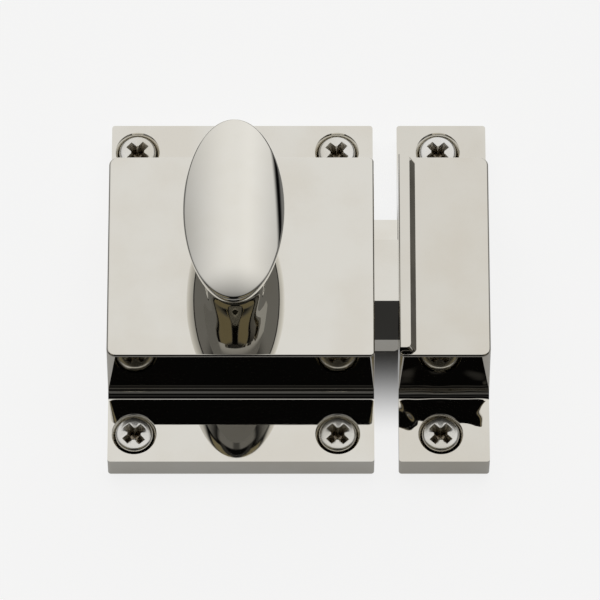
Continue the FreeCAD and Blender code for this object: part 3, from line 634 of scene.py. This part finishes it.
# %% [markdown]
# ## The studio
# A mirror shows the room more than itself, so the room is guessed from the reflections in the photograph. The faces
# are light, as under a wide soft light above and behind the latch. The knob's edges suggest grey walls at both sides
# with a dark gap above them, and the black bands below the case a dark room round the camera. The low far wall isn't
# in the photograph: it keeps the faces from going black in views from behind. Lamps could be placed one by one, but
# the room is easier to steer as one World: its shader reads the direction and answers how bright the room is there.
# Each cell below works out one part from x, y and z of the direction, and the brightest part wins.

# %% The soft light overhead
def height_over_walls(tree, x, z):
    """Above 0 for directions over the tops of both side walls, about 43 degrees right and 35 left."""
    over_right = math_node(
        tree, "SUBTRACT", math_node(tree, "MULTIPLY", z, 0.725), math_node(tree, "MULTIPLY", x, 0.688))
    over_left = math_node(
        tree, "ADD", math_node(tree, "MULTIPLY", z, 0.824), math_node(tree, "MULTIPLY", x, 0.566))
    return math_node(tree, "MINIMUM", over_right, over_left)


def soft_light(tree, x, y, z, over_walls):
    """The wide light from a little in front of the zenith to far behind, weaker towards both sides."""
    squares = math_node(tree, "ADD", math_node(tree, "MULTIPLY", y, y), math_node(tree, "MULTIPLY", z, z))
    reach = math_node(tree, "MAXIMUM", math_node(tree, "SQRT", squares), 0.001)
    behind = smooth_step(tree, math_node(tree, "DIVIDE", y, reach), -0.12, 0.17)
    fall_off = chain(tree, "MULTIPLY", x, x, 0.8)
    right_gain = math_node(tree, "MULTIPLY", smooth_step(tree, x, 0.0, 0.3), 0.09)
    level = math_node(tree, "ADD", math_node(tree, "SUBTRACT", 0.96, fall_off), right_gain)
    return chain(tree, "MULTIPLY", behind, smooth_step(tree, over_walls, -0.02, 0.04), level)


print("overhead light: 0.96 in the middle")

# %% The side walls and the dark side
def wall_shade(tree, y, over_walls):
    """Grey side walls that darken towards the camera, a faint band low in front and a trace of light all round."""
    walls = chain(
        tree, "MULTIPLY", smooth_step(tree, over_walls, -0.04, -0.08), 0.2, smooth_step(tree, y, -0.5, 0.0))
    front_band = chain(
        tree, "MULTIPLY", smooth_step(tree, y, -0.52, -0.6), smooth_step(tree, y, -0.75, -0.66), 0.035)
    return chain(tree, "ADD", walls, front_band, 0.003)


def far_wall(tree, y, z, off_middle):
    """The low far wall behind the camera, dimmer in the middle; the faces show it when seen from behind."""
    spread = math_node(tree, "MULTIPLY", smooth_step(tree, y, -0.4, -0.6), smooth_step(tree, z, 0.4, 0.3))
    level = math_node(
        tree, "ADD", math_node(tree, "MULTIPLY", smooth_step(tree, off_middle, 0.1, 0.3), 0.12), 0.08)
    return math_node(tree, "MULTIPLY", spread, level)


def drapes(tree, y, off_middle, over_walls):
    """A warm tone, as of drapes, at both sides of the camera; the middle of the knob's mirror image shows it."""
    return chain(
        tree, "MULTIPLY", smooth_step(tree, off_middle, 0.12, 0.2), smooth_step(tree, over_walls, 0.02, 0.08),
        smooth_step(tree, y, -0.1, -0.18), smooth_step(tree, y, -0.56, -0.46))


print("dim parts of the room:", [part.__name__ for part in (wall_shade, far_wall, drapes)])

# %% Join the room's parts
DRAPE_LEVEL, DRAPE_TONE = 0.24, (1, 0.88, 0.56)


def studio_world():
    """The World that holds all parts of the room."""
    world = bpy.data.worlds.new("studio")
    world.use_nodes = True
    tree = world.node_tree
    background = tree.nodes["Background"]
    place = tree.nodes.new("ShaderNodeTexCoord")
    split = tree.nodes.new("ShaderNodeSeparateXYZ")
    link_up(tree, (place.outputs["Generated"], split.inputs["Vector"]))
    x, y, z = (split.outputs[axis] for axis in "XYZ")
    off_middle = math_node(tree, "ABSOLUTE", x)
    over_walls = height_over_walls(tree, x, z)
    warm = drapes(tree, y, off_middle, over_walls)
    brightness = chain(
        tree, "MAXIMUM",
        soft_light(tree, x, y, z, over_walls),
        wall_shade(tree, y, over_walls),
        far_wall(tree, y, z, off_middle),
        math_node(tree, "MULTIPLY", warm, DRAPE_LEVEL),
    )
    link_up(
        tree,
        (colour_mix(tree, warm, (1, 1, 1), DRAPE_TONE), background.inputs["Color"]),
        (brightness, background.inputs["Strength"]),
    )
    return world


scene = bpy.context.scene
scene.world = studio_world()
print("room of", len(scene.world.node_tree.nodes), "nodes")

# %% [markdown]
# ## The board
# The latch lies on a white ground that is lit evenly, so the paint glows a little by itself and hardly takes a
# shadow. Only between case and strike, where little light comes in below the bolt, the photograph shows a deep
# soft shade. The metal sees the board too: as a mirror image the ground is brightest behind the latch and greyest
# in front of it and on its left, so rays from the metal read another glow, from the place where they land.

# %% How the board glows
# The even glow is the pale ground; the shade in the gap and the uneven glow that the metal sees are painted.
BOARD_GREY, BOARD_GLOW, SHADE_POWER = 0.2, 0.83, 1.6


def seen_glow(tree, x, y):
    """The even glow, with a painted shadow in the gap below the bolt."""
    # Between case and strike, below the bolt, the glow is lowered: a painted shadow.
    between = math_node(tree, "MULTIPLY", smooth_step(tree, x, 0.0, 0.01), smooth_step(tree, x, 0.04, 0.036))
    below = math_node(
        tree, "MULTIPLY", smooth_step(tree, y, -0.025, -0.006), smooth_step(tree, y, 0.012, 0.006))
    lit = math_node(tree, "SUBTRACT", 1.0, math_node(tree, "MULTIPLY", between, below))
    return math_node(tree, "MULTIPLY", math_node(tree, "POWER", lit, SHADE_POWER), BOARD_GLOW)


def mirrored_glow(tree, x, y):
    """The glow that the metal sees, painted light and shade for its reflections: bright in a wedge behind the latch,
    mid grey beside it, dim in front.
    """
    wedge = math_node(
        tree, "SUBTRACT", y, math_node(tree, "MULTIPLY", math_node(tree, "ABSOLUTE", x), 0.8))
    behind = math_node(tree, "MULTIPLY", smooth_step(tree, wedge, -0.03, 0.02), 0.6)
    beside = chain(
        tree, "MULTIPLY", smooth_step(tree, x, -0.06, -0.04), smooth_step(tree, y, -0.055, -0.034), 0.22)
    return chain(tree, "ADD", behind, beside, 0.1)


print("board glow:", BOARD_GLOW)

# %% The pale board that the latch lies on
def board_paint():
    """Matt paint whose glow differs for the camera and for rays from the metal."""
    paint = bpy.data.materials.new("board_paint")
    paint.use_nodes = True
    tree = paint.node_tree
    shader = tree.nodes["Principled BSDF"]
    shader.inputs["Base Color"].default_value = (BOARD_GREY, BOARD_GREY, BOARD_GREY, 1)
    shader.inputs["Roughness"].default_value = 1.0
    shader.inputs["Specular IOR Level"].default_value = 0.0
    shader.inputs["Emission Color"].default_value = (1, 1, 1, 1)
    place = tree.nodes.new("ShaderNodeTexCoord")
    split = tree.nodes.new("ShaderNodeSeparateXYZ")
    path = tree.nodes.new("ShaderNodeLightPath")
    glow = tree.nodes.new("ShaderNodeMix")
    x, y = split.outputs["X"], split.outputs["Y"]
    link_up(
        tree,
        (place.outputs["Object"], split.inputs["Vector"]),
        (path.outputs["Is Glossy Ray"], glow.inputs["Factor"]),
        (seen_glow(tree, x, y), glow.inputs["A"]),
        (mirrored_glow(tree, x, y), glow.inputs["B"]),
        (glow.outputs["Result"], shader.inputs["Emission Strength"]),
    )
    return paint


board_mesh = bpy.data.meshes.new("board")
sheet = bmesh.new()
bmesh.ops.create_grid(sheet, x_segments=1, y_segments=1, size=3.0)
sheet.to_mesh(board_mesh)
sheet.free()
board_mesh.materials.append(board_paint())
board = bpy.data.objects.new("board", board_mesh)
bpy.context.collection.objects.link(board)
print("board:", len(board_mesh.polygons), "face")

# %% [markdown]
# ## The camera
# The photograph looks down at the back plane from about 63 degrees with a long lens, so upright edges hardly
# converge. The target is the point under the picture's middle. The plain Standard view keeps the greys of the
# metal as the shaders give them, and the facing mirrors need a few more bounces than Blender's default.

# %% Place the camera
ELEVATION, DISTANCE, TARGET = math.radians(63.2), 1.1, Vector((10.9, 0.8, 0)) * MM


def photo_camera():
    """The camera on the photograph's line of sight."""
    lens = bpy.data.cameras.new("photo_lens")
    lens.lens = 389.4
    lens.sensor_width = 36
    lens.clip_end = 20
    camera = bpy.data.objects.new("photo_camera", lens)
    bpy.context.collection.objects.link(camera)
    camera.location = TARGET + DISTANCE * Vector((0, -math.cos(ELEVATION), math.sin(ELEVATION)))
    camera.rotation_euler = (math.pi / 2 - ELEVATION, 0, 0)
    return camera


scene.camera = photo_camera()
scene.view_settings.view_transform = "Standard"
scene.cycles.glossy_bounces = 10
print("camera at", [round(part, 3) for part in scene.camera.location])
